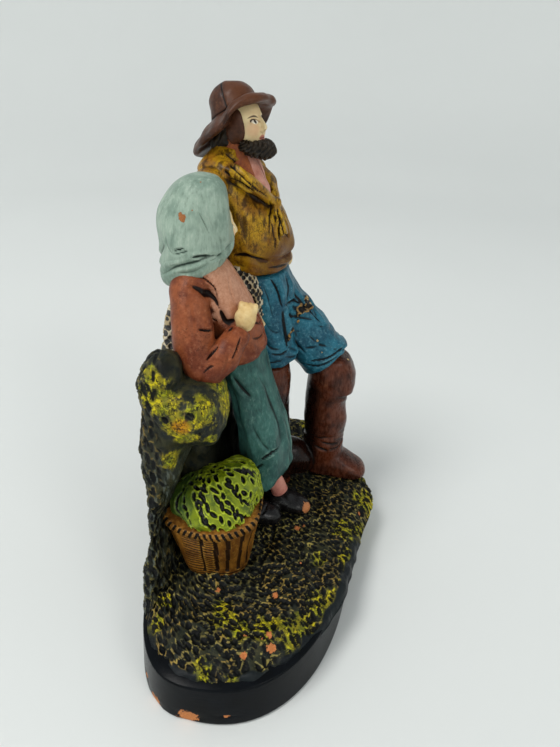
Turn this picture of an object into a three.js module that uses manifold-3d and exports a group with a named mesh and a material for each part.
// A painted terracotta group: a fisherman in a broad-brimmed hat and a woman in a headscarf,
// standing on a mound of rock over a black D-shaped plinth, with a basket of seaweed beside them.
// The whole group is one clay casting with a flat underside, so it is one solid.
// Millimetres, +Z up. The figures face -Y and stand side by side along X, the woman at -X.
// The origin is under the middle of the group's box, on the ground.

import * as THREE from 'three';
import { mergeVertices } from 'three/addons/utils/BufferGeometryUtils.js';
import Module from 'manifold-3d';

const wasm = await Module();
wasm.setup();

// Driving dimensions
const PLINTH_HALF_LENGTH = 121;
const PLINTH_FRONT = 71;
const PLINTH_BACK = 49;
const PLINTH_WIDEST_Y = 10;
const PLINTH_HEIGHT = 25;
const PLINTH_DRAFT = 2.5;
const PLINTH_BEVEL = 1.2;
const MOUND_TOP = 31;
const BASKET_X = -36;
const BASKET_FOOT_Z = 30;
const BASKET_RIM_Z = 68;
const BASKET_LEAN = 0.12;
const MAN_TURN = -20;
const MAN_HEAD_TURN = -25;
const MAN_HEAD_NOD = -8;
const WOMAN_HEAD_TURN = 37;
const HAT_TILT = 28;
const HAT_PLACE = [44, 21.5, 263];
const BRIM_INNER_RADIUS = 13;
const BRIM_OUTER_RADIUS = 20;
const BRIM_FRONT_LIFT = 5.8;
const BRIM_FRONT_REACH = 0.6;
const BRIM_REAR_REACH = 10.5;
const BRIM_REAR_DROP = 2.5;
const EAR_FLAP_SIZE = [2.6, 6, 9];
const EAR_FLAP_TURN = 10;

const radians = THREE.MathUtils.degToRad;

// Smooth value of a table's columns at a fraction of its length
function between(rows, fraction) {
  const place = Math.min(Math.max(fraction, 0), 1) * (rows.length - 1);
  const first = Math.min(Math.floor(place), rows.length - 2);
  const t = place - first;
  const before = rows[Math.max(first - 1, 0)];
  const start = rows[first];
  const end = rows[first + 1];
  const after = rows[Math.min(first + 2, rows.length - 1)];
  return start.map((value, column) => {
    const leave = (end[column] - before[column]) / 2;
    const arrive = (after[column] - value) / 2;
    const rise = end[column] - value;
    return value + t * (leave + t * (3 * rise - 2 * leave - arrive + t * (leave + arrive - 2 * rise)));
  });
}

// Rounded-square reach of a section in one direction
function rounded(value, power) {
  return Math.sign(value) * Math.abs(value) ** (2 / power);
}

// Gentle hand-modelled unevenness
function lumps(x, y, z, size) {
  const a = Math.sin(x / size + 1.7 * Math.sin(y / size * 0.8 + 0.6));
  const b = Math.sin(y / size * 1.1 + 1.9 * Math.sin(z / size * 0.9 + 2.1));
  const c = Math.sin(z / size * 1.2 + 1.6 * Math.sin(x / size * 0.7 + 4.0));
  return (a + b + c) / 3;
}

// Turns a sphere's faces outward when its mapping has mirrored it
function facingOut(geometry) {
  const index = geometry.index.array;
  const at = geometry.attributes.position;
  const corner = [new THREE.Vector3(), new THREE.Vector3(), new THREE.Vector3()];
  let volume = 0;
  for (let i = 0; i < index.length; i += 3) {
    corner.forEach((point, k) => point.fromBufferAttribute(at, index[i + k]));
    volume += corner[0].dot(corner[1].clone().cross(corner[2]));
  }
  if (volume < 0) {
    for (let i = 0; i < index.length; i += 3) {
      [index[i + 1], index[i + 2]] = [index[i + 2], index[i + 1]];
    }
  }
  return geometry;
}

// Closed sphere with every point moved by a function of its azimuth and its fraction from pole to pole
function shaped(around, along, place) {
  const geometry = new THREE.SphereGeometry(1, around, along);
  const at = geometry.attributes.position;
  for (let i = 0; i < at.count; i += 1) {
    const polar = Math.acos(Math.min(Math.max(at.getY(i), -1), 1));
    const azimuth = Math.atan2(at.getZ(i), at.getX(i));
    const edge = polar < 1e-4 || polar > Math.PI - 1e-4;
    const point = place(edge ? 0 : azimuth, polar / Math.PI);
    at.setXYZ(i, point[0], point[1], point[2]);
  }
  return facingOut(geometry);
}

// Form lofted through stations [x, y, z, half width, front, back, squareness, rise to the front].
// A level form has horizontal sections turned about Z; a limb has sections square to its path.
function loft(rows, { around, along, turn = 0, limb = false, startCap = 0.1, endCap = 0.1, relief = null }) {
  const ahead = new THREE.Vector3();
  const side = new THREE.Vector3();
  const depth = new THREE.Vector3();
  return shaped(around, along, (azimuth, fraction) => {
    const u = fraction - 0.5 * Math.sin(2 * Math.PI * fraction) / (2 * Math.PI);
    const [x, y, z, half, front, back, power, rise] = between(rows, u);
    let round = 1;
    if (u < startCap) round = Math.sqrt(Math.max(1 - (1 - u / startCap) ** 2, 0));
    if (u > 1 - endCap) round = Math.min(round, Math.sqrt(Math.max(1 - (1 - (1 - u) / endCap) ** 2, 0)));
    const yaw = radians(turn);
    side.set(Math.cos(yaw), Math.sin(yaw), 0);
    depth.set(Math.sin(yaw), -Math.cos(yaw), 0);
    if (limb) {
      const step = 0.02;
      const near = between(rows, u - step);
      const far = between(rows, u + step);
      ahead.set(far[0] - near[0], far[1] - near[1], far[2] - near[2]).normalize();
      side.addScaledVector(ahead, -side.dot(ahead)).normalize();
      depth.crossVectors(ahead, side).normalize();
    }
    const cosine = rounded(Math.cos(azimuth), power);
    const sine = rounded(Math.sin(azimuth), power);
    const swell = relief ? relief(u, azimuth, x, y, z) : 0;
    const across = cosine * (half + swell) * round;
    const deep = sine * ((sine > 0 ? front : back) + swell) * round;
    const lift = limb ? 0 : rise * deep;
    return [
      x + side.x * across + depth.x * deep,
      y + side.y * across + depth.y * deep,
      z + side.z * across + depth.z * deep + lift,
    ];
  });
}

// Egg shape about a centre, with its own tilt
function egg(centre, radii, { around = 10, along = 8, tilt = [0, 0, 0], relief = null } = {}) {
  const lean = new THREE.Matrix4().makeRotationFromEuler(new THREE.Euler(...tilt.map(radians), 'ZYX'));
  const point = new THREE.Vector3();
  return shaped(around, along, (azimuth, fraction) => {
    const polar = fraction * Math.PI;
    point.set(Math.sin(polar) * Math.cos(azimuth), Math.sin(polar) * Math.sin(azimuth), Math.cos(polar));
    const swell = relief ? relief(point.x, point.y, point.z) : 0;
    point.set(point.x * (radii[0] + swell), point.y * (radii[1] + swell), point.z * (radii[2] + swell));
    point.applyMatrix4(lean);
    return [centre[0] + point.x, centre[1] + point.y, centre[2] + point.z];
  });
}

// Solid made from a geometry whose shared points are merged
function solid(geometry) {
  const bare = geometry.index ? geometry : mergeVertices(geometry);
  bare.deleteAttribute('normal');
  bare.deleteAttribute('uv');
  const merged = mergeVertices(bare, 1e-4);
  const corners = [];
  const index = merged.index.array;
  for (let i = 0; i < index.length; i += 3) {
    const [a, b, c] = [index[i], index[i + 1], index[i + 2]];
    if (a !== b && b !== c && a !== c) corners.push(a, b, c);
  }
  const mesh = new wasm.Mesh({
    numProp: 3,
    vertProperties: Float32Array.from(merged.attributes.position.array),
    triVerts: Uint32Array.from(corners),
  });
  return new wasm.Manifold(mesh);
}

// Plinth: a D in plan, rounder in front and flatter behind, narrowing a little to its top
function plinthReach(azimuth) {
  const sine = Math.sin(azimuth);
  const cosine = Math.cos(azimuth);
  const deep = sine < 0 ? PLINTH_FRONT : PLINTH_BACK;
  const power = sine < 0 ? 2.3 : 2.8;
  const sum = Math.abs(cosine / PLINTH_HALF_LENGTH) ** power + Math.abs(sine / deep) ** power;
  return sum ** (-1 / power);
}

function plinth() {
  const geometry = new THREE.CylinderGeometry(1, 1, 1, 44, 2);
  const at = geometry.attributes.position;
  for (let i = 0; i < at.count; i += 1) {
    const level = at.getY(i);
    const azimuth = Math.atan2(at.getZ(i), at.getX(i));
    const radius = Math.hypot(at.getX(i), at.getZ(i));
    let z = PLINTH_HEIGHT * (level + 0.5);
    if (level === 0) z = PLINTH_BEVEL;
    const inset = level < 0 ? PLINTH_BEVEL : PLINTH_DRAFT * z / PLINTH_HEIGHT;
    const reach = (plinthReach(azimuth) - inset) * radius;
    at.setXYZ(i, reach * Math.cos(azimuth), PLINTH_WIDEST_Y + reach * Math.sin(azimuth), z);
  }
  return facingOut(geometry);
}

// Edge of the mound: [azimuth in degrees about the plinth's widest line, distance inside the plinth's foot]
const MOUND_EDGE = [
  [-180, 3], [-160, 2.5], [-147, 0.5], [-135, -2], [-122, -3.5], [-110, -5], [-98, -7],
  [-88, -10], [-79, -14.5], [-69, -17.5], [-58, -16.5], [-47, -12], [-36, -8], [-24, -3],
  [-12, 3], [0, 4], [30, 5], [60, 6], [90, 6], [120, 5], [150, 4], [170, 3], [180, 3],
];

function moundReach(azimuth) {
  const degrees = THREE.MathUtils.radToDeg(azimuth);
  const last = MOUND_EDGE.findIndex((row) => row[0] >= degrees);
  const [a, b] = [MOUND_EDGE[Math.max(last - 1, 0)], MOUND_EDGE[Math.max(last, 1)]];
  const t = (degrees - a[0]) / (b[0] - a[0]);
  return plinthReach(azimuth) - a[1] - (b[1] - a[1]) * t * t * (3 - 2 * t);
}

function moundHeight(x, y) {
  const far = THREE.MathUtils.smoothstep(x, 40, 110);
  return MOUND_TOP + 7 * far + 2.2 * lumps(x, y, 0, 11);
}

function mound() {
  return shaped(42, 11, (azimuth, fraction) => {
    const reach = moundReach(azimuth);
    const upper = Math.min(fraction / 0.72, 1);
    const spread = Math.min(Math.sin(upper * Math.PI / 2) ** 0.8, 1);
    const lower = THREE.MathUtils.clamp((fraction - 0.72) / 0.14, 0, 1);
    const under = THREE.MathUtils.clamp((fraction - 0.86) / 0.14, 0, 1);
    const radius = reach * (fraction < 0.86 ? spread - 0.03 * lower : 0.97 * (1 - under));
    const x = radius * Math.cos(azimuth);
    const y = PLINTH_WIDEST_Y + radius * Math.sin(azimuth);
    const fall = THREE.MathUtils.smoothstep(spread, 0.86, 1);
    const crown = moundHeight(x, y) * (1 - 0.15 * fall);
    const foot = PLINTH_HEIGHT - 3;
    return [x, y, crown + (foot - crown) * lower];
  });
}

// Rock: a wall along the back, a boulder on its near end, and knobs below it
const WALL = [
  [27, 36, 18, 57, 20, 17, 3.4, 0],
  [27, 36, 45, 56, 19, 17, 3.4, 0],
  [26, 37, 72, 52, 19, 17, 3.2, 0],
  [25, 38, 98, 46, 18, 16, 3.0, 0],
  [20, 40, 120, 41, 17, 14, 2.8, 0],
  [14, 42, 138, 38, 14, 12, 2.6, 0],
  [8, 44, 152, 30, 10, 9, 2.4, 0],
];
const RIB = [
  [-50, 46, 18, 38, 8, 7, 3.0, 0],
  [-45, 48.5, 40, 31, 5, 5.2, 3.0, 0],
  [-40, 49, 65, 25, 4, 4, 2.8, 0],
  [-37, 46.5, 90, 25, 8, 7, 2.6, 0],
  [-36, 44, 112, 26, 12, 12.5, 2.6, 0],
  [-37, 42, 130, 25, 15, 12.5, 2.6, 0],
  [-38, 41, 146, 22, 15, 11.5, 2.6, 0],
];
const BOULDER = [
  [-38, 28, 118, 17, 13, 18, 2.8, 0],
  [-40, 29, 128, 22, 16.5, 21, 3.0, 0],
  [-41, 29, 141, 23, 15, 22, 3.0, 0],
  [-40, 30, 152, 20, 15.5, 20, 2.6, 0],
];
const SHOULDER_ROCK = [
  [-44, 42, 136, 14, 10, 11, 2.4, 0],
  [-45, 42, 150, 14, 9, 11, 2.4, 0],
  [-45, 41, 166, 11, 8, 8, 2.4, 0],
];
const KNOB = [
  [-50, 45, 88, 8, 7, 8, 2.2, 0],
  [-52, 42, 102, 10, 8, 11, 2.2, 0],
  [-52, 41, 114, 8, 6, 9, 2.2, 0],
];

// Man
const SMOCK = [
  [44, 9, 181.5, 21, 16, 17, 2.2, 0.05],
  [44, 9.5, 186, 23.5, 18.6, 19, 2.2, 0.05],
  [44, 10, 190, 22.8, 18.2, 19, 2.2, 0.05],
  [44, 10, 194, 24.5, 19.8, 20, 2.3, 0.05],
  [44, 11, 201, 25, 19.8, 20, 2.3, 0],
  [44, 13.5, 211, 25, 17.3, 20, 2.3, 0],
  [44, 17, 222, 25, 13.4, 20, 2.3, 0],
  [43.5, 20, 231, 25, 11, 19.5, 2.3, 0],
  [43, 22.5, 239, 21, 9, 15, 2.2, 0],
  [43, 23, 245, 14, 8, 10.5, 2, 0],
  [43, 22, 249, 10, 8, 8, 2, 0],
];
const COLLAR = [
  [43.5, 20.5, 231, 25.5, 9, 20, 2.2, -0.35],
  [43.5, 21, 234.5, 25.5, 10, 18.2, 2.2, -0.35],
  [43, 22, 240, 21, 9, 13.3, 2.1, -0.3],
  [43, 22.5, 244.5, 14.5, 8, 10.5, 2, -0.25],
  [43, 22, 248, 10.5, 8, 8.6, 2, -0.2],
];
const NEAR_LAPEL = [
  [33, 31, 241, 5, 3.5, 3.5, 2, 0],
  [26, 24, 239, 6, 4, 4, 2, 0],
  [26, 14, 234, 6, 4, 4, 2, 0],
  [31, 6, 227, 5, 3.5, 3.5, 2, 0],
  [38, 0, 220.5, 2.6, 2.2, 2.2, 2, 0],
];
const FAR_LAPEL = [
  [53, 31, 241, 5, 3.5, 3.5, 2, 0],
  [61, 22, 238, 6, 4, 4, 2, 0],
  [59, 11, 233, 6, 4, 4, 2, 0],
  [50, 3.5, 227, 5, 3.5, 3.5, 2, 0],
  [41.5, -0.5, 220.5, 2.6, 2.2, 2.2, 2, 0],
];
const MAN_NEAR_ARM = [
  [24, 29, 239, 9, 9, 9, 2, 0],
  [20, 34, 224, 10, 10, 10, 2, 0],
  [17, 40, 206, 9.5, 9.5, 9.5, 2, 0],
  [15, 44, 188, 9, 9, 9, 2, 0],
  [14, 46, 170, 7.5, 7.5, 7.5, 2, 0],
];
const MAN_FAR_ARM = [
  [64, 17, 238, 9, 9, 9, 2, 0],
  [71, 20, 226, 10, 10, 10, 2, 0],
  [76, 23, 211, 10, 10, 10, 2, 0],
  [77, 18, 199, 10, 10, 10, 2, 0],
  [72, 6, 191, 9, 9, 9, 2, 0],
  [66, -3, 187, 7.5, 7.5, 7.5, 2, 0],
];
const BREECHES = [
  [45, 7, 137, 12, 9, 11, 2.2, 0],
  [45, 5, 147, 20, 14, 15, 2.3, 0],
  [45, 5, 158, 23, 18, 18, 2.3, 0],
  [45, 6, 170, 22.5, 18, 19, 2.3, 0],
  [45, 8, 182, 21, 16, 18, 2.2, 0],
];
const NEAR_THIGH = [
  [34, 6, 170, 13, 14, 14, 2, 0],
  [33, 3, 155, 14.5, 15, 15, 2.1, 0],
  [33, 1, 142, 15, 15.5, 15.5, 2.1, 0],
  [33, -0.5, 130, 15.5, 16.5, 16, 2.1, 0],
  [33, -1.5, 125.5, 14.5, 15.5, 15, 2.1, 0],
];
const FAR_THIGH = [
  [54, 5, 170, 13, 14, 14, 2, 0],
  [54, -8, 151.5, 15, 15.5, 16, 2.1, 0],
  [54, -21.5, 135, 16, 16.5, 17, 2.1, 0],
  [55, -33, 122, 16.5, 16.5, 17, 2.1, 0],
  [55, -36, 118.5, 16, 16, 16.5, 2.1, 0],
];
const NEAR_BOOT = [
  [33, 0, 126, 12, 13, 13, 2, 0],
  [33, 0, 112, 13, 14, 13.5, 2.1, 0],
  [33, 0, 98, 12.5, 14, 13.5, 2.1, 0],
  [33, -1, 80, 12, 13.5, 13, 2.1, 0],
  [33, -2, 60, 11.5, 13, 13, 2.1, 0],
  [33, -3, 44, 11.5, 13, 13, 2.1, 0],
  [33, -4, 30, 11, 13, 13, 2.1, 0],
];
const FAR_BOOT = [
  [55, -36, 124, 13, 14, 13, 2, 0],
  [54, -38, 112, 14.5, 17.5, 14, 2.1, 0],
  [53.5, -38, 101, 14, 17.5, 14, 2.1, 0],
  [53, -37.5, 90, 13, 13.5, 14.5, 2.1, 0],
  [52.5, -37.5, 74, 12.5, 14.5, 14.5, 2.1, 0],
  [52, -37.5, 60, 12, 13.5, 14, 2.1, 0],
  [52, -38, 46, 12, 14, 13.5, 2.1, 0],
  [52, -39, 32, 11.5, 13, 12, 2.1, 0],
];
const NEAR_FOOT = [
  [33, 8, 38, 10, 9, 9, 2.2, 0],
  [36, -4, 45, 11.5, 14, 13, 2.3, 0],
  [40, -14, 47, 11.5, 15, 14, 2.3, 0],
  [43, -23, 43, 10, 10.5, 11, 2.3, 0],
  [44, -30, 38, 8, 6, 7, 2.2, 0],
];
const FAR_FOOT = [
  [52, -26, 37, 10, 9, 9, 2.2, 0],
  [52, -41, 40, 11.5, 12, 12, 2.3, 0],
  [51, -55, 37, 12, 8.5, 9.5, 2.3, 0],
  [50, -69.5, 33, 9.5, 4.5, 6, 2.2, 0],
];

// Woman
const SKIRT = [
  [2, -3, 64, 23, 14, 11, 2.2, 0.46],
  [2, -4, 70, 24, 16, 13.5, 2.2, 0.44],
  [2, -3.5, 80, 23.5, 14.5, 14.5, 2.2, 0.25],
  [2, -2.5, 91, 23, 14.6, 15, 2.2, 0.1],
  [2, -1, 101, 22.5, 14.6, 14.5, 2.2, 0],
  [2, 0.5, 112, 22, 11.8, 14.5, 2.2, 0],
  [2, 4, 124, 21, 11.5, 13.5, 2.1, 0],
  [2, 8.5, 136, 20, 13, 12.5, 2.1, 0],
  [2, 12.5, 149, 18, 13.5, 13, 2.1, 0],
  [2, 14, 156, 16, 13, 13, 2.1, 0],
];
const JACKET = [
  [1, 13, 146.5, 17, 13, 14, 2.1, 0],
  [1, 13, 151, 20, 15.2, 15.5, 2.1, 0],
  [1, 14, 157, 18.5, 14.8, 15, 2.1, 0],
  [0, 17, 165, 18, 15.8, 16, 2.1, 0],
  [0, 21.5, 176, 19, 15.2, 16.5, 2.1, 0],
  [-1, 26, 187, 20, 14.2, 17, 2.1, 0],
  [-2, 30, 197, 17, 13, 15, 2.1, 0],
  [-3, 31, 204, 9, 9.5, 10, 2, 0],
];
const WOMAN_NEAR_ARM = [
  [-12, 34.5, 197, 8.5, 8.5, 8.5, 2, 0],
  [-19, 34, 187, 10, 10, 10, 2, 0],
  [-27, 31.5, 172, 10.4, 10.4, 10.4, 2, 0],
  [-33, 28, 158, 9.8, 9.8, 9.8, 2, 0],
  [-34.5, 22.5, 153, 9, 9, 9, 2, 0],
  [-30, 15.5, 158, 8.4, 8.4, 8.4, 2, 0],
  [-23, 10.5, 165.5, 6.9, 6.9, 6.9, 2, 0],
  [-19, 8.6, 169, 5.4, 5.4, 5.4, 2, 0],
];
const WOMAN_FAR_ARM = [
  [13, 33, 193, 9, 9, 9, 2, 0],
  [18, 33, 183, 10, 10, 10, 2, 0],
  [22, 30, 168, 9.5, 9.5, 9.5, 2, 0],
  [22, 22, 158, 9, 9, 9, 2, 0],
  [18, 12, 157, 7.5, 7.5, 7.5, 2, 0],
];
const SCARF = [
  [-3, 35.5, 192, 14, 12, 13, 2.2, 0.42],
  [-4, 35, 196.5, 17, 16, 16.5, 2.2, 0.36],
  [-4, 34, 201.5, 17.6, 18, 18, 2.3, 0.22],
  [-4, 33, 209, 17.6, 17.8, 18.5, 2.3, 0.1],
  [-4, 33, 217, 17.6, 16.8, 18, 2.3, 0],
  [-3.5, 32, 226, 17, 14, 16.8, 2.2, 0],
  [-3, 31, 234, 14.5, 11.6, 13.4, 2.1, 0],
  [-2, 28.5, 241.5, 9, 8, 9, 2, 0],
];
const ANKLE = [
  [6, 4, 72, 6, 6, 6, 2, 0],
  [6, -7, 56, 5.5, 5.5, 5.5, 2, 0],
  [6, -13, 43, 5, 5.5, 5.5, 2, 0],
];
const FAR_SHOE = [
  [6, -7, 38, 8, 7, 7, 2.2, 0],
  [6, -19, 38, 8.5, 6.5, 7, 2.2, 0],
  [4, -32, 34, 7, 5, 5, 2.2, 0],
];
const NEAR_SHOE = [
  [-7, 8, 38, 8, 8, 8, 2.2, 0],
  [-7, -2, 37, 8.5, 6.5, 7, 2.2, 0],
  [-7, -15, 34, 7, 5, 5, 2.2, 0],
];

// Net: over the rock behind the woman, and down between the two figures
const NET_BACK = [
  [4, 44, 180, 9, 6, 5, 2.2, 0],
  [0, 44, 168, 20, 9, 7, 2.4, 0],
  [-4, 44, 152, 24, 10, 8.5, 2.4, 0],
  [-4, 45, 138, 22, 8, 9, 2.4, 0],
];
const NET_BETWEEN = [
  [24, 19, 188, 4, 7, 10, 2.2, 0],
  [23, 15, 178, 6, 10, 12, 2.3, 0],
  [22, 13, 166, 7, 11, 14, 2.3, 0],
  [21, 12, 152, 7, 11, 14, 2.3, 0],
  [21, 13, 140, 5, 8, 10, 2.3, 0],
];

const rockRelief = (size, depth) => (u, azimuth, x, y, z) => (
  depth * lumps(x + 40 * Math.cos(azimuth), y + 40 * Math.sin(azimuth), z, size)
);

// Skirt folds: long shallow flutes that deepen to the hem
const skirtFolds = (u, azimuth) => (1.6 - 1.3 * u) * Math.cos(7 * azimuth + 2 * u) * 0.6;

// Smock folds: slanting pleats that gather at the waist and at the knot on the chest
const smockFolds = (u, azimuth) => (
  0.9 * Math.exp(-(((u - 0.38) / 0.2) ** 2)) * Math.cos(9 * azimuth + 5 * u)
  + 0.7 * Math.exp(-(((u - 0.7) / 0.15) ** 2)) * Math.cos(6 * azimuth - 14 * u)
);

// Scarf folds: lines that fall from the crown and sweep round to the nape
const scarfFolds = (u, azimuth) => 0.9 * (1 - u) * Math.cos(5 * azimuth + 7 * u + 1);

// Sleeve folds: rings that crowd at the bend of the elbow
const sleeveFolds = (u, azimuth) => (
  0.9 * Math.exp(-(((u - 0.55) / 0.22) ** 2)) * Math.cos(26 * u + 2 * Math.cos(azimuth))
);

// Boot wrinkles: soft rings at the ankle and above the knee
const bootWrinkles = (u, azimuth) => (
  0.8 * Math.exp(-(((u - 0.82) / 0.12) ** 2)) * Math.cos(34 * u + Math.cos(azimuth))
);

// Beard: upright locks along the jaw
const beardLocks = (u, azimuth) => 0.6 * Math.abs(Math.sin(9 * Math.PI * u + Math.sin(2 * azimuth))) - 0.3;

// Sou'wester: crown and brim turned about one axis, the brim turned up in front and long behind
const HAT_PROFILE = [
  [0, -4.4], [12, -5], [18, -6.6], [20.4, -7.2], [21.8, -6.4], [21.8, -4.8],
  [18.6, -1.8], [14.6, 0.8], [13.6, 3.2], [11.8, 9.4], [6.6, 15.3], [0, 16.8],
];

function hat() {
  const outline = HAT_PROFILE.map(([radius, height]) => new THREE.Vector2(radius, height));
  const geometry = new THREE.LatheGeometry(outline, 20);
  const at = geometry.attributes.position;
  const turn = new THREE.Matrix4().makeRotationZ(radians(MAN_HEAD_TURN));
  const tilt = new THREE.Matrix4().makeRotationX(radians(-HAT_TILT));
  const point = new THREE.Vector3();
  for (let i = 0; i < at.count; i += 1) {
    point.set(at.getX(i), at.getZ(i), at.getY(i));
    const radius = Math.hypot(point.x, point.y);
    const back = point.y / (radius + 1e-6);
    const below = point.z < -4.2 && radius < BRIM_OUTER_RADIUS + 1;
    const underside = below ? THREE.MathUtils.smoothstep(radius, 4, 11) : 0;
    const brim = THREE.MathUtils.smoothstep(radius, BRIM_INNER_RADIUS, BRIM_OUTER_RADIUS);
    const lift = THREE.MathUtils.smoothstep(-back, 0, 0.62) * Math.max(brim, underside);
    const rear = Math.max(back, 0) * brim;
    point.y += BRIM_REAR_REACH * rear + BRIM_FRONT_REACH * Math.max(-back, 0) * brim;
    point.z += BRIM_FRONT_LIFT * lift - BRIM_REAR_DROP * rear;
    point.applyMatrix4(tilt).applyMatrix4(turn);
    at.setXYZ(i, point.x + HAT_PLACE[0], point.y + HAT_PLACE[1], point.z + HAT_PLACE[2]);
  }
  return facingOut(geometry);
}

// Places on the man's head, in half sizes from its centre
const MAN_HEAD = [43.5, 18.5, 259];
const MAN_HEAD_SIZE = [10.8, 13, 15.6];

function onHead(x, y, z) {
  const turn = new THREE.Euler(radians(MAN_HEAD_NOD), 0, radians(MAN_HEAD_TURN), 'ZYX');
  const lean = new THREE.Matrix4().makeRotationFromEuler(turn);
  const point = new THREE.Vector3(x * MAN_HEAD_SIZE[0], y * MAN_HEAD_SIZE[1], z * MAN_HEAD_SIZE[2]);
  return point.applyMatrix4(lean).add(new THREE.Vector3(...MAN_HEAD)).toArray();
}

const BEARD = [
  [-0.84, -0.22, -0.6, 1.8], [-0.74, -0.48, -0.74, 3], [-0.42, -0.84, -0.84, 3.9], [0, -1.02, -0.86, 4.3],
  [0.42, -0.84, -0.84, 3.9], [0.74, -0.48, -0.74, 3], [0.84, -0.22, -0.6, 1.8],
].map(([x, y, z, radius]) => [...onHead(x, y, z), radius, radius * 1.1, radius, 2.2, 0]);

// Basket: an oval tub that widens to a thick rim, leaning a little to the near end
const BASKET = [
  [-36, 20, 24, 17, 18, 14, 3.0, 0],
  [-36, 20, 30, 19, 19.5, 16.5, 3.0, 0],
  [-36, 20.5, 42, 20.6, 22, 20.5, 2.8, 0],
  [-36, 21, 54, 22.6, 25, 24.5, 2.5, 0],
  [-36, 21.4, 64, 24.4, 27.4, 27.6, 2.3, 0],
  [-36, 21.4, 68, 25.4, 28.4, 28.6, 2.2, 0],
  [-36, 21.4, 70.4, 24.4, 27.4, 27.6, 2.2, 0],
];

function basket() {
  const geometry = loft(BASKET, { around: 20, along: 8, startCap: 0.05, endCap: 0.06 });
  const at = geometry.attributes.position;
  for (let i = 0; i < at.count; i += 1) {
    const rise = THREE.MathUtils.smoothstep(at.getZ(i), BASKET_FOOT_Z, BASKET_RIM_Z);
    at.setZ(i, at.getZ(i) + BASKET_LEAN * (at.getX(i) - BASKET_X) * rise);
  }
  return geometry;
}

// Paint colours, with roughness and metalness
function paint(colour, roughness) {
  return new THREE.MeshStandardMaterial({ color: colour, roughness, metalness: 0 });
}

const PAINTS = {
  plinth: paint(0x141210, 0.35),
  ground: paint(0x2b2d1c, 0.6),
  straw: paint(0xaa6e23, 0.55),
  seaweed: paint(0x96b414, 0.5),
  smock: paint(0xa87a18, 0.55),
  breeches: paint(0x245a6c, 0.5),
  boots: paint(0x6a3420, 0.4),
  hat: paint(0x6f3a2b, 0.45),
  hair: paint(0x241a14, 0.5),
  skin: paint(0xe0c896, 0.5),
  scarf: paint(0x96afa0, 0.6),
  jacket: paint(0xa8603f, 0.55),
  skirt: paint(0x4b7d73, 0.6),
  shoes: paint(0x15130f, 0.35),
  net: paint(0xa89a6c, 0.6),
};

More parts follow.
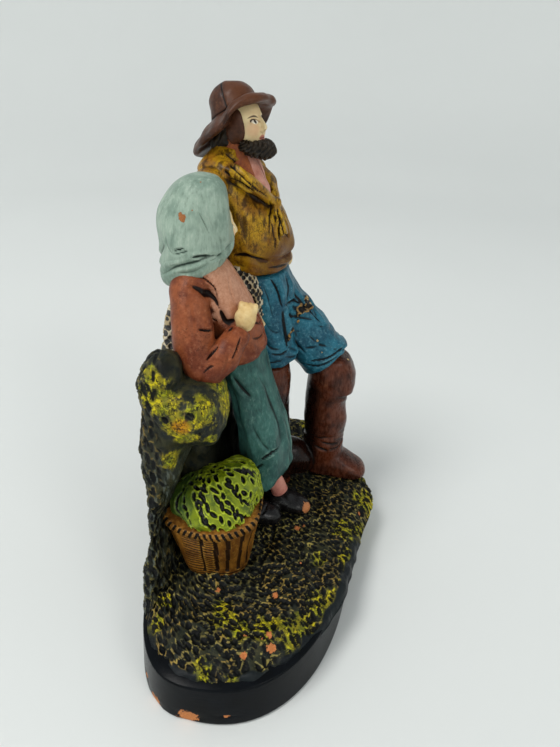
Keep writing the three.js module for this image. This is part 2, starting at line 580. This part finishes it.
const PIECES = [
  ['plinth', plinth()],
  ['ground', mound()],
  ['ground', loft(WALL, { around: 18, along: 7, startCap: 0.02, endCap: 0.16, relief: rockRelief(12, 2.2) })],
  ['ground', loft(RIB, { around: 16, along: 8, startCap: 0.02, endCap: 0.1, relief: rockRelief(10, 1.2) })],
  ['ground', loft(BOULDER,
    { around: 16, along: 8, startCap: 0.25, endCap: 0.3, relief: rockRelief(9, 1.6) })],
  ['ground', loft(SHOULDER_ROCK,
    { around: 10, along: 7, startCap: 0.2, endCap: 0.4, relief: rockRelief(8, 1) })],
  ['ground', loft(KNOB, { around: 8, along: 5, startCap: 0.45, endCap: 0.45 })],
  ['straw', basket()],
  ['seaweed', egg([-37, 19, 68], [24, 24, 19], { around: 13, along: 8 })],
  ['seaweed', egg([-30, 11, 73], [18, 17, 19], { around: 12, along: 7, tilt: [15, 0, 0] })],
  ['seaweed', egg([-40, 35, 69], [13, 10, 11], { around: 8, along: 6 })],
  ['skirt', loft(SKIRT, { around: 20, along: 10, startCap: 0.03, endCap: 0.08, relief: skirtFolds })],
  ['jacket', loft(JACKET, { around: 14, along: 9, startCap: 0.05, endCap: 0.2 })],
  ['jacket', loft(WOMAN_NEAR_ARM,
    { around: 9, along: 11, limb: true, startCap: 0.15, endCap: 0.06, relief: sleeveFolds })],
  ['jacket', loft(WOMAN_FAR_ARM, { around: 8, along: 7, limb: true, startCap: 0.2, endCap: 0.06 })],
  ['skin', egg([-16.5, 6, 174.5], [6, 5.6, 8.6], { around: 9, along: 6, tilt: [12, -10, 12] })],
  ['skin', egg([15.5, 7.5, 157.5], [4.6, 5.6, 5], { around: 6, along: 5 })],
  ['skin', egg([0.8, 26.8, 215], [10.5, 12.2, 14.5],
    { around: 10, along: 7, tilt: [4, 0, WOMAN_HEAD_TURN] })],
  ['scarf', loft(SCARF,
    { around: 16, along: 10, turn: WOMAN_HEAD_TURN, startCap: 0.06, endCap: 0.12, relief: scarfFolds })],
  ['skin', loft(ANKLE, { around: 7, along: 4, limb: true })],
  ['shoes', loft(FAR_SHOE, { around: 8, along: 5, limb: true, startCap: 0.25, endCap: 0.3 })],
  ['shoes', loft(NEAR_SHOE, { around: 8, along: 5, limb: true, startCap: 0.25, endCap: 0.3 })],
  ['smock', loft(SMOCK,
    { around: 16, along: 11, turn: MAN_TURN, startCap: 0.03, endCap: 0.05, relief: smockFolds })],
  ['smock', loft(COLLAR, { around: 14, along: 5, turn: MAN_TURN, startCap: 0.08, endCap: 0.05 })],
  ['smock', loft(NEAR_LAPEL, { around: 6, along: 7, limb: true, startCap: 0.1, endCap: 0.1 })],
  ['smock', loft(FAR_LAPEL, { around: 6, along: 7, limb: true, startCap: 0.1, endCap: 0.1 })],
  ['smock', egg([39, -1.2, 220], [3.6, 3.1, 3.6], { around: 6, along: 5 })],
  ['smock', loft(MAN_NEAR_ARM, { around: 7, along: 6, limb: true, startCap: 0.15, endCap: 0.06 })],
  ['smock', loft(MAN_FAR_ARM,
    { around: 9, along: 9, limb: true, startCap: 0.12, endCap: 0.06, relief: sleeveFolds })],
  ['skin', egg([13.5, 47, 164], [6, 6, 8], { around: 6, along: 5 })],
  ['skin', egg([64, -4, 182], [5.6, 6, 6], { around: 7, along: 5 })],
  ['skin', loft([[43, 23, 243, 8.5, 8, 8, 2, 0], [43, 20, 252, 8.5, 8, 8, 2, 0]], { around: 7, along: 4 })],
  ['skin', egg(MAN_HEAD, MAN_HEAD_SIZE, { around: 12, along: 8, tilt: [MAN_HEAD_NOD, 0, MAN_HEAD_TURN] })],
  ['skin', egg(onHead(0, -1.02, -0.12), [1.9, 2.6, 4],
    { around: 6, along: 4, tilt: [-20, 0, MAN_HEAD_TURN] })],
  ['hair', loft(BEARD,
    { around: 7, along: 10, limb: true, startCap: 0.08, endCap: 0.08, relief: beardLocks })],
  ['hat', egg(onHead(-0.86, -0.1, -0.05), EAR_FLAP_SIZE,
    { around: 8, along: 6, tilt: [MAN_HEAD_NOD, 0, MAN_HEAD_TURN + EAR_FLAP_TURN] })],
  ['hat', egg(onHead(0.86, -0.1, -0.05), EAR_FLAP_SIZE,
    { around: 8, along: 6, tilt: [MAN_HEAD_NOD, 0, MAN_HEAD_TURN - EAR_FLAP_TURN] })],
  ['hair', egg([45.5, 29, 253], [11.5, 10, 11], { around: 9, along: 7 })],
  ['hat', hat()],
  ['breeches', loft(BREECHES, { around: 14, along: 7, turn: MAN_TURN / 2, startCap: 0.2, endCap: 0.05 })],
  ['breeches', loft(NEAR_THIGH, { around: 13, along: 7, limb: true, startCap: 0.1, endCap: 0.04 })],
  ['breeches', loft(FAR_THIGH, { around: 13, along: 8, limb: true, startCap: 0.1, endCap: 0.04 })],
  ['boots', loft(NEAR_BOOT, { around: 10, along: 7, startCap: 0.05, endCap: 0.02 })],
  ['boots', loft(FAR_BOOT, { around: 12, along: 10, startCap: 0.05, endCap: 0.02, relief: bootWrinkles })],
  ['boots', loft(NEAR_FOOT, { around: 9, along: 6, limb: true, startCap: 0.12, endCap: 0.22 })],
  ['boots', loft(FAR_FOOT, { around: 9, along: 7, limb: true, startCap: 0.12, endCap: 0.22 })],
  ['net', loft(NET_BACK, { around: 8, along: 5, startCap: 0.2, endCap: 0.2 })],
  ['net', loft(NET_BETWEEN, { around: 7, along: 6, startCap: 0.15, endCap: 0.15 })],
];

// One solid from all of them, with each paint's triangles kept as a group
let whole = null;
const paintOf = new Map();
for (const [name, geometry] of PIECES) {
  const piece = solid(geometry).asOriginal();
  paintOf.set(piece.originalID(), name);
  whole = whole ? whole.add(piece) : piece;
}

const mesh = whole.getMesh();
const geometry = new THREE.BufferGeometry();
geometry.setAttribute('position', new THREE.BufferAttribute(Float32Array.from(mesh.vertProperties), 3));
geometry.setIndex([...mesh.triVerts]);
const names = Object.keys(PAINTS);
mesh.runOriginalID.forEach((id, run) => {
  const start = mesh.runIndex[run];
  geometry.addGroup(start, mesh.runIndex[run + 1] - start, names.indexOf(paintOf.get(id)));
});

// Put the origin under the middle of the box
geometry.computeBoundingBox();
const middle = geometry.boundingBox.getCenter(new THREE.Vector3());
geometry.translate(-middle.x, -middle.y, -geometry.boundingBox.min.z);

const group = new THREE.Group();
const figures = new THREE.Mesh(geometry, Object.values(PAINTS));
figures.name = 'fisherfolk_group';
group.add(figures);

export default group;
